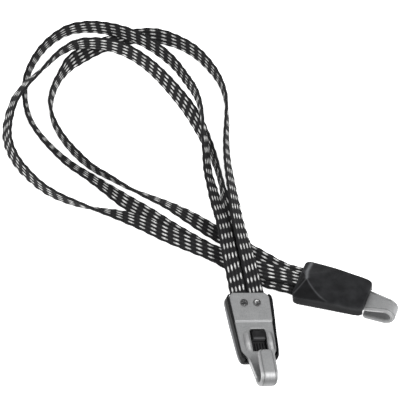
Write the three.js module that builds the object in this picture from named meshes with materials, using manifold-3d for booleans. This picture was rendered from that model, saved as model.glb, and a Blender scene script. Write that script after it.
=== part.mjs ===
// Elastic luggage strap: three flat woven elastic bands, clamped at both ends in the same fitting.
// Each fitting is a bent steel hook plate, a moulded cover, two rivets, a backing plate and a catch.
// Millimetres, +Z up, standing surface at z = 0. A fitting's own axes are u (from the strap to the
// hook), v (across) and n (from the cover to the hook side).
import * as THREE from 'three';
import { mergeVertices } from 'three/addons/utils/BufferGeometryUtils.js';
import Module from 'manifold-3d';

// Bands
const BAND_WIDTH = 9.6;
const BAND_THICK = 1.5;
const BAND_CORNER = 0.35;
const GAP = 0.3;
const SIDE_BAND_V = (BAND_WIDTH + GAP) / 2;

// Hook plate
const PLATE_THICK = 1.8;
const PLATE_EDGE_HALF = 9.3;
const PLATE_CHAMFER_U = 2.6;
const PLATE_HALF = 11.4;
const PLATE_HALF_AT_SHOULDER = 9.9;
const SHOULDER_U = 34.2;
const NECK_U = 38.0;
const NECK_HALF = 6.9;
const HOOK_HALF = 4.5;
const HOOK_STRAIGHT_U = 49.4;
const HOOK_GAP = 6.4;
const HOOK_THICK = 2.5;
const HOOK_THICK_U = [37.0, 41.0];
const HOOK_TIP_U = 38.6;
const HOOK_TIP_CORNER = 2.2;
const STEP_U = 15.9;
const STEP_RUN = 0.9;
const STEP_DROP = 0.6;
const WINDOW_U = [21.3, 34.0];
const WINDOW_HALF = 4.4;
const WINDOW_V = 1.2;
const RAIL_U = [22.6, 33.6];
const RAIL_V = [5.2, 7.5];
const RAIL_RISE = 1.1;

// Rivets and backing plate
const RIVET_U = 6.1;
const RIVET_V = 3.65;
const RIVET_R = 1.3;
const RIVET_HEAD_R = 2.4;
const RIVET_BORE_R = 0.75;
const RIVET_BORE_DEPTH = 1.2;
const RIVET_HEAD = 0.7;
const RIVET_FOOT = 0.4;
const HOLE_R = RIVET_R + GAP;
const BACKING_U = [2.4, 10.2];
const BACKING_HALF = 5.9;
const BACKING_THICK = 0.6;
const TAIL_U = [-0.2, 11.6];

// Levels of the stack, along n from the plate's band side downwards
const SIDE_BAND_N = -GAP - BAND_THICK / 2;
const MIDDLE_BAND_N = SIDE_BAND_N - BAND_THICK - GAP;
const BACKING_N = MIDDLE_BAND_N - BAND_THICK / 2 - GAP - BACKING_THICK;
const RIVET_FOOT_N = BACKING_N - GAP - RIVET_FOOT;

// Cover
const COVER_RIM_N = 2.2;
const COVER_OUTER_N = -7.4;
const COVER_TAPER = 0.34;
const COVER_EAR = [
  [0.7, PLATE_HALF - 0.8], [1.0, PLATE_HALF + 0.4], [2.0, PLATE_HALF + 1.2], [4.0, PLATE_HALF + 1.6],
];
const COVER_HALF = [[22, PLATE_HALF + 0.2], [34, PLATE_HALF_AT_SHOULDER + 0.9]];
const COVER_END = [
  [37.0, PLATE_HALF_AT_SHOULDER + 0.4], [38.8, PLATE_HALF_AT_SHOULDER - 0.6],
  [39.3, PLATE_HALF_AT_SHOULDER - 2.0],
];
const COVER_END_N = -STEP_DROP - GAP;
const COVER_EDGE_R = 1.8;
const COVER_CROWN_R = 75;
const CAVITY_EAR = [[0.9, PLATE_HALF - 0.7], [PLATE_CHAMFER_U + GAP, PLATE_HALF + GAP]];
const CAVITY_SHOULDER = [SHOULDER_U + GAP, PLATE_HALF_AT_SHOULDER + GAP];
const CAVITY_END = [SHOULDER_U + 2.4, PLATE_HALF_AT_SHOULDER - 0.5];
const CAVITY_N = SIDE_BAND_N - BAND_THICK / 2 - GAP;
const CHANNEL_END_U = TAIL_U[1] + GAP;
const CHANNEL_HALF = RIVET_V + RIVET_HEAD_R + GAP;
const CHANNEL_N = RIVET_FOOT_N - GAP;
const NOTCH_HALF = NECK_HALF + 1.5;
const FRONT = [[0.4, -4.6], [4.6, -7.5]];
const CHEEK_TOP = [4.4, 0.2];
const CHEEK_SIDE = [24.0, PLATE_HALF + 0.1];
const CHEEK_CORNER = [0.8, PLATE_HALF + 0.7, -4.4];
const CUT_PAST = 5;

// Snap catch
const LATCH_U = [22.0, 34.9];
const LATCH_HALF = WINDOW_HALF - 0.5;
const LATCH_ARM_N = [-2.4, -1.2];
const LATCH_NOSE_U = 27.6;
const LATCH_NOSE_N = 2.3;
const LATCH_TRAVEL = 1.5;

// How the two fittings lie: place of u = v = n = 0, then yaw, pitch and roll in degrees
const END_A = { place: [25.6, -64.8, 8.3], yaw: -81.8, pitch: 0, roll: -15 };
const END_B = { place: [53.35, -55.65, 4.42], yaw: -21.6, pitch: 10.2, roll: 171 };

// The lists and the two places above are measured from a point of the table; the part's own origin
// is here, under the middle of the two fittings.
const ORIGIN = [59.4, -81.9];

// Where each band runs between the fittings: x, y, z of its middle, and its roll in degrees from
// lying flat. The first and last points come from the fittings.
const LEFT_RUN = [
  [17.0, -46.5, 12.0, -20], [15.0, -34.0, 11.8, -27], [12.5, -20.5, 11.0, -34], [9.5, -9.0, 9.8, -41],
  [7.0, 3.5, 7.8, -49], [4.5, 16.0, 7.0, -58], [3.5, 25.5, 10.2, -65], [2.5, 35.5, 13.2, -72],
  [1.5, 47.0, 15.0, -89], [-1.5, 64.0, 13.4, -97], [-9.0, 83.0, 8.0, -101], [-17.0, 96.5, 6.6, -103],
  [-28.0, 106.0, 8.8, -105], [-38.0, 111.5, 11.0, -105], [-48.5, 116.5, 11.0, -104],
  [-60.0, 121.5, 8.8, -101], [-72.0, 125.0, 5.8, -96], [-82.0, 123.5, 5.1, -91],
  [-92.0, 116.0, 5.1, -87], [-99.5, 105.5, 5.1, -88], [-104.5, 93.0, 5.0, -90],
  [-106.5, 80.0, 5.1, -95], [-105.0, 65.5, 5.1, -100], [-101.0, 53.0, 5.0, -110],
  [-93.5, 41.0, 4.8, -119], [-84.5, 30.5, 4.5, -127], [-75.0, 21.5, 4.1, -136],
  [-64.5, 13.5, 4.6, -142], [-53.5, 5.5, 3.5, -153], [-42.0, -2.5, 1.8, -172],
  [-30.5, -10.0, 1.3, -178], [-18.0, -19.0, 1.2, -180], [-4.0, -28.5, 1.3, -182],
  [10.0, -37.5, 1.5, -184], [23.5, -46.0, 1.8, -186], [37.0, -53.0, 2.5, -189],
];
const MIDDLE_RUN = [
  [22.0, -43.5, 7.2, -11], [19.5, -29.5, 6.4, -2], [16.5, -14.5, 4.0, 30], [13.9, -1.0, 5.1, 72],
  [11.5, 12.0, 5.2, 84], [8.5, 24.5, 5.2, 78], [4.5, 36.5, 4.9, 66], [-0.5, 49.5, 4.5, 54],
  [-7.0, 62.5, 4.4, 50], [-14.5, 74.0, 4.6, 55], [-23.5, 86.0, 5.0, 60], [-33.5, 97.0, 5.1, 66],
  [-43.5, 104.0, 6.4, 70], [-54.5, 107.0, 9.2, 77], [-65.5, 107.5, 10.8, 83], [-76.0, 105.5, 12.3, 95],
  [-85.5, 99.5, 12.0, 105], [-92.5, 90.0, 12.8, 112], [-98.5, 79.0, 15.6, 132],
  [-104.0, 70.0, 16.9, 138], [-109.5, 63.5, 13.4, 142], [-113.0, 57.0, 8.0, 137],
  [-114.5, 46.5, 4.4, 131], [-112.0, 34.5, 4.8, 121], [-106.5, 23.5, 5.0, 112], [-98.5, 13.5, 5.1, 104],
  [-89.5, 5.0, 5.1, 96], [-79.0, -1.5, 5.1, 87], [-68.5, -6.0, 5.1, 76], [-56.5, -10.0, 5.2, 49],
  [-45.5, -13.0, 4.8, 26], [-33.0, -17.5, 4.1, 6], [-19.5, -24.5, 3.6, 0], [-5.5, -31.0, 3.5, -3],
  [14.5, -40.0, 3.9, -7], [34.0, -48.0, 4.8, -10],
];
const RIGHT_RUN = [
  [26.2, -44.5, 9.6, -26], [23.6, -32.5, 10.0, -35], [20.9, -19.0, 9.7, -43], [19.2, -5.5, 8.8, -50],
  [17.5, 9.5, 6.4, -57], [16.0, 24.0, 4.9, -64], [15.5, 38.5, 5.0, -72], [16.0, 53.5, 5.1, -79],
  [15.5, 70.0, 5.1, -92], [12.5, 82.0, 5.1, -94], [5.5, 95.0, 5.1, -101], [-3.5, 106.0, 5.1, -106],
  [-15.0, 114.0, 5.0, -111], [-27.5, 118.5, 4.8, -132], [-40.5, 119.5, 3.2, -152],
  [-52.0, 117.0, 2.4, -165], [-62.5, 112.0, 2.6, -162], [-72.5, 105.0, 3.2, -150],
  [-80.0, 97.0, 4.8, -118], [-85.5, 86.5, 5.1, -94], [-89.0, 75.5, 5.1, -93], [-90.0, 64.0, 5.1, -93],
  [-88.0, 54.5, 5.1, -83], [-84.0, 45.5, 5.1, -83], [-78.0, 36.0, 5.1, -84], [-70.5, 27.0, 5.1, -85],
  [-61.5, 18.5, 5.1, -95], [-51.5, 12.0, 5.1, -102], [-41.5, 5.5, 5.0, -112], [-30.0, -0.5, 4.9, -130],
  [-18.0, -6.0, 3.9, -144], [-6.0, -13.0, 2.6, -162], [6.0, -21.0, 1.6, -174], [19.0, -29.5, 1.6, -180],
  [31.0, -37.5, 2.0, -184],
];
const BANDS = [
  { name: 'band_left', run: LEFT_RUN, side: 1, turn: -180 },
  { name: 'band_middle', run: MIDDLE_RUN, side: 0, turn: 0 },
  { name: 'band_right', run: RIGHT_RUN, side: -1, turn: -180 },
];
const MOUTH_U = [-0.5, -6.5];

const wasm = await Module();
wasm.setup();

const STEEL = { color: 0x8f9193, roughness: 0.45, metalness: 0.7 };
const PLASTIC = { color: 0x17181a, roughness: 0.5, metalness: 0 };
const RIVET = { color: 0x6c6e70, roughness: 0.35, metalness: 0.8 };
const WEBBING = { color: 0x222222, roughness: 0.9, metalness: 0 };

// A closed three.js geometry as a solid for cutting and joining.
function solid(geometry) {
  const bare = geometry.clone();
  bare.deleteAttribute('normal');
  bare.deleteAttribute('uv');
  const joined = mergeVertices(bare, 1e-4);
  return new wasm.Manifold(new wasm.Mesh({
    numProp: 3,
    vertProperties: new Float32Array(joined.attributes.position.array),
    triVerts: new Uint32Array(joined.index.array),
  }));
}

function geometryOf(made) {
  const mesh = made.getMesh();
  const geometry = new THREE.BufferGeometry();
  geometry.setAttribute('position', new THREE.BufferAttribute(mesh.vertProperties, 3));
  geometry.setIndex(new THREE.BufferAttribute(mesh.triVerts, 1));
  return geometry;
}

function meshOf(name, geometry, look) {
  const mesh = new THREE.Mesh(geometry, new THREE.MeshStandardMaterial(look));
  mesh.name = name;
  return mesh;
}

function box(u, v, n) {
  const made = new THREE.BoxGeometry(u[1] - u[0], v[1] - v[0], n[1] - n[0]);
  return made.translate((u[0] + u[1]) / 2, (v[0] + v[1]) / 2, (n[0] + n[1]) / 2);
}

// A round bar that stands along n.
function bar(u, v, radius, n, sides = 20) {
  const made = new THREE.CylinderGeometry(radius, radius, n[1] - n[0], sides);
  return made.rotateX(Math.PI / 2).translate(u, v, (n[0] + n[1]) / 2);
}

// An outline in u and v, given by its half on the +v side, raised along n.
function prism(half, n, options = {}) {
  const other = half.map(([u, v]) => [u, -v]).reverse();
  const shape = new THREE.Shape([...half, ...other].map(([u, v]) => new THREE.Vector2(u, v)));
  const depth = n[1] - n[0];
  const made = new THREE.ExtrudeGeometry(shape, { depth, bevelEnabled: false, ...options });
  return made.translate(0, 0, n[0]);
}

// The hook plate's side view, drawn in u and n and pulled out across v.
function hookProfile() {
  const low = PLATE_THICK - STEP_DROP;
  const inner = HOOK_THICK - STEP_DROP;
  const middle = inner + HOOK_GAP / 2;
  const high = inner + HOOK_GAP;
  const lean = PLATE_THICK * Math.tan(Math.atan2(STEP_DROP, STEP_RUN) / 2);
  const shape = new THREE.Shape();
  shape.moveTo(0, 0);
  shape.lineTo(STEP_U, 0);
  shape.lineTo(STEP_U + STEP_RUN, -STEP_DROP);
  shape.lineTo(HOOK_STRAIGHT_U, -STEP_DROP);
  shape.absarc(HOOK_STRAIGHT_U, middle, HOOK_GAP / 2 + HOOK_THICK, -Math.PI / 2, Math.PI / 2);
  shape.absarc(HOOK_TIP_U, high + HOOK_THICK / 2, HOOK_THICK / 2, Math.PI / 2, Math.PI * 1.5);
  shape.lineTo(HOOK_STRAIGHT_U, high);
  shape.absarc(HOOK_STRAIGHT_U, middle, HOOK_GAP / 2, Math.PI / 2, -Math.PI / 2, true);
  shape.lineTo(HOOK_THICK_U[1], inner);
  shape.lineTo(HOOK_THICK_U[0], low);
  shape.lineTo(STEP_U + STEP_RUN + lean, low);
  shape.lineTo(STEP_U + lean, PLATE_THICK);
  shape.lineTo(0, PLATE_THICK);
  return pulled(shape, [-PLATE_HALF - 1, PLATE_HALF + 1], 14);
}

// A side view in u and n, pulled out across v.
function pulled(shape, v, curveSegments = 12) {
  const made = new THREE.ExtrudeGeometry(shape, { depth: v[1] - v[0], bevelEnabled: false, curveSegments });
  return made.rotateX(Math.PI / 2).translate(0, v[1], 0);
}

// An arched rail beside the window; s is the side.
function rail(s) {
  const top = PLATE_THICK - STEP_DROP;
  const half = (RAIL_U[1] - RAIL_U[0]) / 2;
  const radius = (half * half + RAIL_RISE * RAIL_RISE) / (2 * RAIL_RISE);
  const angle = Math.asin(half / radius);
  const shape = new THREE.Shape();
  shape.moveTo(RAIL_U[0], top - PLATE_THICK / 2);
  shape.lineTo(RAIL_U[1], top - PLATE_THICK / 2);
  shape.absarc(
    RAIL_U[0] + half, top + RAIL_RISE - radius, radius, Math.PI / 2 - angle, Math.PI / 2 + angle,
  );
  return pulled(shape, RAIL_V.map((v) => WINDOW_V + s * v).sort((a, b) => a - b));
}

function hookPlate() {
  const middle = HOOK_THICK - STEP_DROP + HOOK_GAP / 2;
  const reach = HOOK_STRAIGHT_U + HOOK_GAP / 2 + HOOK_THICK + 1;
  const under = -STEP_DROP - 1;
  const base = prism([
    [0, PLATE_EDGE_HALF], [PLATE_CHAMFER_U, PLATE_HALF], [SHOULDER_U, PLATE_HALF_AT_SHOULDER],
    [NECK_U, NECK_HALF], [HOOK_STRAIGHT_U, HOOK_HALF], [reach, HOOK_HALF],
  ], [under, middle]);
  const tip = HOOK_TIP_U - HOOK_THICK / 2;
  const leg = prism([
    [tip - 0.1, HOOK_HALF - HOOK_TIP_CORNER], [tip + HOOK_TIP_CORNER / 3, HOOK_HALF - HOOK_TIP_CORNER / 3],
    [tip + HOOK_TIP_CORNER, HOOK_HALF], [reach, HOOK_HALF],
  ], [middle - 0.01, middle + HOOK_GAP]);
  const window = box(WINDOW_U, [WINDOW_V - WINDOW_HALF, WINDOW_V + WINDOW_HALF], [under, middle]);
  let made = solid(hookProfile()).intersect(solid(base).add(solid(leg)));
  for (const s of [-1, 1]) made = made.add(solid(rail(s)));
  made = made.subtract(solid(window));
  for (const s of [-1, 1]) {
    made = made.subtract(solid(bar(RIVET_U, s * RIVET_V, HOLE_R, [-1, PLATE_THICK + 1])));
  }
  return geometryOf(made);
}

// A block outside the plane through three points, to slope the cover's outer side.
function slope(a, b, c) {
  const [p, q, r] = [a, b, c].map((at) => new THREE.Vector3(...at));
  const normal = q.clone().sub(p).cross(r.clone().sub(p)).normalize();
  if (normal.z > 0) normal.negate();
  const turn = new THREE.Quaternion().setFromUnitVectors(new THREE.Vector3(0, 0, 1), normal);
  const size = 2 * COVER_END[2][0];
  return new THREE.BoxGeometry(size, size, size).translate(0, 0, size / 2).applyQuaternion(turn)
    .translate(p.x, p.y, p.z);
}

// The sloping cheek at one strap-end corner; s is the side.
function cheek(s) {
  const edge = COVER_OUTER_N - 0.2;
  return slope(
    [CHEEK_TOP[0], s * CHEEK_TOP[1], edge], [CHEEK_SIDE[0], s * CHEEK_SIDE[1], edge + 0.6],
    [CHEEK_CORNER[0], s * CHEEK_CORNER[1], CHEEK_CORNER[2]],
  );
}

// Makes the cover's outer side come closer to the plate towards the hook.
function tapered(geometry) {
  const place = geometry.getAttribute('position');
  for (let i = 0; i < place.count; i += 1) {
    const n = place.getZ(i);
    if (n < 0) place.setZ(i, n * (1 - COVER_TAPER * place.getX(i) / COVER_END[2][0]));
  }
  return geometry;
}

function cover() {
  const end = COVER_END[2][0];
  const rounded = {
    bevelEnabled: true, bevelThickness: COVER_EDGE_R, bevelSize: COVER_EDGE_R,
    bevelOffset: -COVER_EDGE_R, bevelSegments: 4,
  };
  const n = [COVER_OUTER_N + COVER_EDGE_R, COVER_RIM_N + 1];
  const crown = new THREE.CylinderGeometry(COVER_CROWN_R, COVER_CROWN_R, 2 * end, 240)
    .rotateZ(Math.PI / 2).translate(end / 2, 0, COVER_OUTER_N + COVER_CROWN_R);
  const top = COVER_RIM_N + CUT_PAST;
  const side = PLATE_HALF + 2 * CUT_PAST;
  const half = BAND_WIDTH / 2 + GAP;
  const cuts = [
    prism(
      [[-CUT_PAST, CAVITY_EAR[0][1]], ...CAVITY_EAR, CAVITY_SHOULDER, CAVITY_END], [CAVITY_N, top],
    ),
    box([-CUT_PAST, CHANNEL_END_U], [-half, half], [MIDDLE_BAND_N - BAND_THICK / 2 - GAP, top]),
    box([BACKING_U[0] - GAP, CHANNEL_END_U], [-CHANNEL_HALF, CHANNEL_HALF], [CHANNEL_N, top]),
    box(
      [LATCH_U[0] - GAP, LATCH_U[1] + GAP], [WINDOW_V - LATCH_HALF - GAP, WINDOW_V + LATCH_HALF + GAP],
      [LATCH_ARM_N[0] - LATCH_TRAVEL, top],
    ),
    box([CAVITY_END[0] - 0.5, end + CUT_PAST], [-NOTCH_HALF, NOTCH_HALF], [COVER_END_N, top]),
    box([-CUT_PAST, end + CUT_PAST], [-side, side], [COVER_RIM_N, top + CUT_PAST]),
  ];
  const [low, high] = FRONT;
  let made = solid(prism([...COVER_EAR, ...COVER_HALF, ...COVER_END], n, rounded));
  made = made.intersect(solid(crown));
  made = made.subtract(solid(slope([low[0], 0, low[1]], [high[0], 0, high[1]], [low[0], side, low[1]])));
  for (const s of [-1, 1]) made = made.subtract(solid(cheek(s)));
  made = solid(tapered(geometryOf(made)));
  for (const one of cuts) made = made.subtract(solid(one));
  return geometryOf(made);
}

function latch() {
  const v = [WINDOW_V - LATCH_HALF, WINDOW_V + LATCH_HALF];
  const arm = box(LATCH_U, v, LATCH_ARM_N);
  const nose = box(
    [LATCH_U[0], LATCH_NOSE_U], v, [LATCH_ARM_N[1] - 0.4, LATCH_NOSE_N],
  );
  return geometryOf(solid(arm).add(solid(nose)));
}

function rivet(v) {
  const top = PLATE_THICK + GAP;
  const tip = top + RIVET_HEAD;
  const foot = RIVET_FOOT_N + RIVET_FOOT;
  const profile = [
    [0, RIVET_FOOT_N], [RIVET_HEAD_R, RIVET_FOOT_N], [RIVET_HEAD_R, foot], [RIVET_R, foot],
    [RIVET_R, top], [RIVET_HEAD_R, top], [RIVET_HEAD_R - 0.2, top + RIVET_HEAD * 0.6],
    [RIVET_HEAD_R - 0.8, tip], [RIVET_BORE_R, tip - 0.15], [RIVET_BORE_R, tip - RIVET_BORE_DEPTH],
    [0, tip - RIVET_BORE_DEPTH],
  ];
  const made = new THREE.LatheGeometry(profile.map(([r, n]) => new THREE.Vector2(r, n)), 20);
  return geometryOf(solid(made.rotateX(Math.PI / 2).translate(RIVET_U, v, 0)));
}

function drilled(blank) {
  let made = solid(blank);
  for (const s of [-1, 1]) {
    made = made.subtract(solid(bar(RIVET_U, s * RIVET_V, HOLE_R, [-9, 1])));
  }
  return geometryOf(made);
}

function tail(side) {
  const v = side * SIDE_BAND_V;
  const n = side ? SIDE_BAND_N : MIDDLE_BAND_N;
  return drilled(box(
    TAIL_U, [v - BAND_WIDTH / 2, v + BAND_WIDTH / 2], [n - BAND_THICK / 2, n + BAND_THICK / 2],
  ));
}

function placed(end, group) {
  group.position.set(...end.place);
  const [roll, pitch, yaw] = [end.roll, -end.pitch, end.yaw].map(THREE.MathUtils.degToRad);
  group.rotation.set(roll, pitch, yaw, 'ZYX');
  group.updateMatrix();
  return group;
}

// One fitting; flip is -1 at the end where the left band runs on the +v side.
function fitting(letter, end, flip) {
  const group = new THREE.Group();
  const backing = box(BACKING_U, [-BACKING_HALF, BACKING_HALF], [BACKING_N, BACKING_N + BACKING_THICK]);
  group.add(
    meshOf(`hook_plate_${letter}`, hookPlate(), STEEL),
    meshOf(`cover_${letter}`, cover(), PLASTIC),
    meshOf(`latch_${letter}`, latch(), PLASTIC),
    meshOf(`rivet_left_${letter}`, rivet(-flip * RIVET_V), RIVET),
    meshOf(`rivet_right_${letter}`, rivet(flip * RIVET_V), RIVET),
    meshOf(`backing_plate_${letter}`, drilled(backing), STEEL),
    meshOf(`tail_left_${letter}`, tail(-flip), WEBBING),
    meshOf(`tail_middle_${letter}`, tail(0), WEBBING),
    meshOf(`tail_right_${letter}`, tail(flip), WEBBING),
  );
  return placed(end, group);
}

// A band's points from fitting to fitting, each with its roll.
function route(band, endA, endB) {
  const n = band.side ? SIDE_BAND_N : MIDDLE_BAND_N;
  const mouth = (group, side) => MOUTH_U.map(
    (u) => new THREE.Vector3(u, side * SIDE_BAND_V, n).applyMatrix4(group.matrix),
  );
  const rollB = 180 - END_B.roll + band.turn;
  const [a0, a1] = mouth(endA, -band.side);
  const [b0, b1] = mouth(endB, band.side);
  return [
    [a0, END_A.roll], [a1, END_A.roll],
    ...band.run.map(([x, y, z, roll]) => [new THREE.Vector3(x, y, z), roll]),
    [b1, rollB], [b0, rollB],
  ];
}

// A flat ribbon: a straight bar of the band's section, each ring of it moved to its point.
function ribbon(points) {
  const [w, t, c] = [BAND_WIDTH / 2, BAND_THICK / 2, BAND_CORNER];
  const section = new THREE.Shape([
    [-w, -t + c], [-w + c, -t], [w - c, -t], [w, -t + c], [w, t - c], [w - c, t], [-w + c, t], [-w, t - c],
  ].map(([x, y]) => new THREE.Vector2(x, y)));
  const last = points.length - 1;
  const made = new THREE.ExtrudeGeometry(section, { depth: last, steps: last, bevelEnabled: false });
  const rings = points.map(([point, roll], i) => {
    const before = points[Math.max(i - 1, 0)][0];
    const along = points[Math.min(i + 1, last)][0].clone().sub(before).normalize();
    const level = along.clone().cross(new THREE.Vector3(0, 0, 1)).normalize();
    const across = level.clone().applyAxisAngle(along, -THREE.MathUtils.degToRad(roll));
    return { point, across, face: across.clone().cross(along) };
  });
  const place = made.getAttribute('position');
  for (let i = 0; i < place.count; i += 1) {
    const ring = rings[last - Math.round(place.getZ(i))];
    const moved = ring.point.clone().addScaledVector(ring.across, place.getX(i))
      .addScaledVector(ring.face, place.getY(i));
    place.setXYZ(i, moved.x, moved.y, moved.z);
  }
  return made;
}

const endA = fitting('a', END_A, 1);
const endB = fitting('b', END_B, -1);
const strap = new THREE.Group();
strap.add(endA, endB);
for (const band of BANDS) strap.add(meshOf(band.name, ribbon(route(band, endA, endB)), WEBBING));
strap.position.set(-ORIGIN[0], -ORIGIN[1], 0);
const part = new THREE.Group();
part.add(strap);
export default part;
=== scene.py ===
# Elastic luggage strap: three flat woven elastic bands between two hook fittings, lying on a pale floor.
# Metres in the CAD frame. The routes and the fittings' places repeat the part's source, in millimetres there.
import math

import bmesh
import bpy
import numpy as np
from mathutils import Euler, Matrix, Vector


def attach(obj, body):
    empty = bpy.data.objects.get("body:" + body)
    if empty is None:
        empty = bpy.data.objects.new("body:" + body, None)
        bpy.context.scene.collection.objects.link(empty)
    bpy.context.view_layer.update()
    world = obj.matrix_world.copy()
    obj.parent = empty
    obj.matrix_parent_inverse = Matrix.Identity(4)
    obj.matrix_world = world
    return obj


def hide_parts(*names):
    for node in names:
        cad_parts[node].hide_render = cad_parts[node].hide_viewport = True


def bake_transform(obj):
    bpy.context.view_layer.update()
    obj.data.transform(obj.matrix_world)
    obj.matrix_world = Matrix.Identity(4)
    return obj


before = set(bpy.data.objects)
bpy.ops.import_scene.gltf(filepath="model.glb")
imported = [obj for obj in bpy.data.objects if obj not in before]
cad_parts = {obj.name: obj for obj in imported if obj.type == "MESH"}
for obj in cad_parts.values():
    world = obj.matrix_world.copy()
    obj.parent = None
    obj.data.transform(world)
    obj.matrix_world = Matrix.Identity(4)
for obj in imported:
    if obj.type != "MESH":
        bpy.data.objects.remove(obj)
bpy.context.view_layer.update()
MM = 0.001

# The two fittings: place of u = v = n = 0 and yaw, pitch, roll in degrees. In a fitting's own axes u runs
# along it to the hook, v across it and n through it, from the cover to the steel side.
ORIGIN = (59.4, -81.9)
END_A = {"place": (25.6, -64.8, 8.3), "yaw": -81.8, "pitch": 0, "roll": -15}
END_B = {"place": (53.35, -55.65, 4.42), "yaw": -21.6, "pitch": 10.2, "roll": 171}

# Hook plate, in its fitting's own axes and millimetres, as in the part's source.
# Its outline is given as u and half width.
PLATE_THICK = 1.8
PLATE_OUTLINE = [
    (0, 9.3), (0.8, 10.15), (1.7, 10.95), (2.6, 11.3), (4.0, 11.34), (32.8, 9.98), (34.2, 9.65), (35.2, 9.0),
    (36.6, 7.9), (37.8, 7.05), (39.0, 6.6), (49.4, 4.5),
]
STEP_UNDER = (15.9, 16.8)
STEP_OVER = (16.4, 17.3)
STEP_DROP = 0.6
HOOK_THICK = 2.5
HOOK_THICK_U = (37.0, 41.0)
HOOK_GAP = 6.4
HOOK_HALF = 4.5
HOOK_STRAIGHT_U = 49.4
HOOK_TIP_U = 38.6
HOOK_TIP_CORNER = 2.2
WINDOW_U = (21.3, 34.0)
WINDOW_MIDDLE_U = sum(WINDOW_U) / 2
WINDOW_LONG = WINDOW_U[1] - WINDOW_U[0]
WINDOW_V = 1.2
WINDOW_HALF = 4.4
WINDOW_CORNER = 1.4
RAIL_U = (22.6, 33.6)
RAIL_V = (5.2, 7.5)
RAIL_RISE = 1.1
RIVET_U = 6.1
RIVET_V = 3.65
RIVET_FOOT_N = -5.2

# Finish of the hook plate: rounded edges, lip of the window, rails and the flutes beside them, and the dish
# and groove of the hook. A name that ends in _D is a distance in from the edge.
FRONT_ROUND = 0.35
EDGE_ROUND = 0.5
HOOK_EDGE_ROUND = 0.35
BEND_EDGE_ROUND = 0.75
TIP_ROUND = HOOK_THICK / 2 - 0.1
TIP_NARROW = 0.9
HOOK_EDGE_U = (36.6, 39.5)
HOOK_DISH = 0.5
HOOK_DISH_D = (0.75, 1.35)
GROOVE_D = 1.35
GROOVE_WIDE = 0.28
GROOVE_DEEP = 0.42
LIP_RISE = 0.12
LIP_OFF = 0.9
LIP_WIDE = 0.5
LIP_ROUND = 0.3
CORNER_LEAD = 1.2
CORNER_REACH = 2.6
RAIL_HALF = 1.2
RAIL_POWER = 0.6
FLUTE_OFF = 0.55
FLUTE_WIDE = 0.4
FLUTE_DEEP = 0.3
FLUTE_ARCH = 0.35
LEAST_THICK = 0.05

# Marks on the hook plate: painted highlights on the riser of the step, the rails, the rolled rims and the
# bend, and painted shade in the throat, on the bend below its gleam and on the jambs of the window
RISER_WIDE = 0.42
RIDGE_U = 30.3
RIDGE_WIDE = 1.1
ROLL_D = 0.35
ROLL_WIDE = 0.4
GLEAM_N = 10.2
GLEAM_WIDE = 0.9
DUSK = [{"n": 8.0, "wide": 1.3, "weight": 0.75}, {"n": 5.1, "wide": 2.2, "weight": 0.5}]
THROAT_D = (0.5, 1.3)
JAMB_OFF = 0.3
JAMB_FROM_U = (20.8, 22)
JAMB_TO_U = 29
JAMB_FADE = 1.5

# Mesh of the hook plate: rings along it as u (on the leg as distance from the tip), and stations across it.
# Rings on the bend and on the return leg carry a tag in place of u.
FRONT_RINGS = [0.0, 0.06, 0.18, 0.35, 0.8, 1.4, 2.0, 2.6, 3.6, 5, 7, 9, 11, 13, 14.5, 15.4]
STEP_RINGS = [15.6 + 0.15 * k for k in range(15)]
BEFORE_WINDOW_RINGS = [18.4, 19.4, 20.2, 20.7, 21.0, 21.15]
WINDOW_RINGS = 28
AFTER_WINDOW_RINGS = [34.15, 34.3, 34.6, 35.0] + [35.4 + 0.5 * k for k in range(28)]
BEND_RINGS = 36
LEG_RINGS = [11.6 - 0.4 * k for k in range(24)] + [2.0 - 0.2 * k for k in range(6)]
LEG_RINGS += [0.8, 0.6, 0.42, 0.26, 0.12, 0.03, 0.0]
BEND_TAG = 60
LEG_TAG = 80
EDGE_STATIONS = [0, 0.06, 0.18, 0.36, 0.6, 0.9]
SIDE_STATIONS = [-8.6, -8.0, -7.4, -6.8]
FRAME_STATIONS = [0, 0.07, 0.2, 0.4, 0.6, 0.8, 1.05, 1.4, 1.95, 2.5, 2.85, 3.1]
OPENING_STATIONS = 11
EDGE_BAND = 0.95
INNER_REACH = 8.75

# Creases on the cover's outer side, as u and v, and how wide and deep they are
COVER_FRONT = [(4.0, -11.0), (4.1, -4.0), (5.4, 0.2)]
COVER_EAR_LINE = [(5.6, 1.0), (4.0, 5.5), (1.8, 11.0)]
COVER_ARC = [(5.6, 1.0), (8.0, 3.7), (10.6, 6.0), (13.3, 8.1), (15.9, 9.8), (18.5, 11.0), (21.0, 11.8)]
FRONT_WIDE = 0.95
ARC_WIDE = 0.34
EAR_WIDE = 0.36
ARC_CUT_WIDE = 0.5
ARC_CUT_DEEP = 0.12
CHEEK_DEEP = 0.3
CHEEK_FROM_U = (1.0, 3.0)
CHEEK_TO_U = 22
CHEEK_FADE = 3
CHEEK_STEP = 0.9
ARC_TO_U = 22.5
ARC_FADE = 7

# Marks on the cover: heights and slopes of its outer side, its rim and the wall nearest the viewer, for its
# painted highlights and painted shade
OUTER_DEPTH = (1.5, 3.0)
OUTER_SLOPE = (-0.1, 0.25)
RIM_N = (-2.6, -1.6)
EAR_V = (6, 9)
WALL_SLOPE = (0.5, 0.9)
WALL_V = (9.2, 10.2)
WALL_LIGHT_DEPTH = (1.3, 2.8)
WALL_SHADE_N = (-2.4, -1.4)
CONVEX_EDGE = (0.05, 0.2)

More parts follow.
